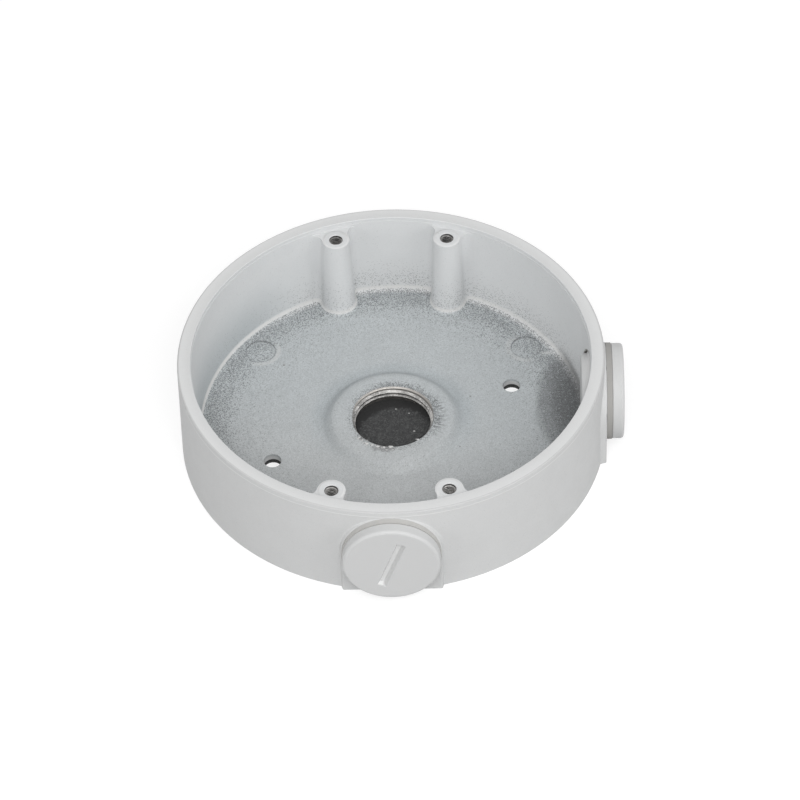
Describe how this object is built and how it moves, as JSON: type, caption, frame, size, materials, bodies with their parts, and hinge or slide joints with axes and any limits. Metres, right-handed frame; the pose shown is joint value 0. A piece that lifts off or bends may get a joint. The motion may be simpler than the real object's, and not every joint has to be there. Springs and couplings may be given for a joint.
{
  "type": "camera junction box",
  "caption": "Shallow round die-cast box for the wiring behind a surveillance camera, with screw columns, a centre cable entry and plugged conduit ports.",
  "frame": {"origin": "centre of the back face, on the surface that the box is screwed to", "axes": "+Z out of the open mouth towards the camera, -Y through the front port, +X through the side port"},
  "size_m": [0.1363, 0.136, 0.0334],
  "materials": {
    "casting": "light grey powder coat over die-cast metal, bare at the machined edges",
    "gasket": "black closed-cell foam",
    "seal": "matt grey",
    "plug": "light grey, fine texture"
  },
  "bodies": {
    "box": {"box_body": "casting", "back_gasket": "gasket"},
    "front_seal": {"front_seal": "seal"},
    "front_plug": {"front_plug": "plug"},
    "side_seal": {"side_seal": "seal"},
    "side_plug": {"side_plug": "plug"}
  },
  "joints": [
    {"name": "front_seal_slide", "type": "slide", "parent": "box", "child": "front_seal", "axis": [0, -1, 0], "range_m": [0, 0.00601]},
    {"name": "front_plug_turn", "type": "hinge", "parent": "front_seal", "child": "front_plug", "pos_m": [0, -0.06515, 0.01645], "axis": [0, -1, 0], "range_deg": [0, 1440]},
    {"name": "side_seal_slide", "type": "slide", "parent": "box", "child": "side_seal", "axis": [1, 0, 0], "range_m": [0, 0.00601]},
    {"name": "side_plug_turn", "type": "hinge", "parent": "side_seal", "child": "side_plug", "pos_m": [0.0655, 0, 0.01645], "axis": [1, 0, 0], "range_deg": [0, 1440]}
  ],
  "couplings": [
    {"joint": "front_seal_slide", "follows": "front_plug_turn", "m_per_rad": 0.00023873},
    {"joint": "side_seal_slide", "follows": "side_plug_turn", "m_per_rad": 0.00023873}
  ]
}
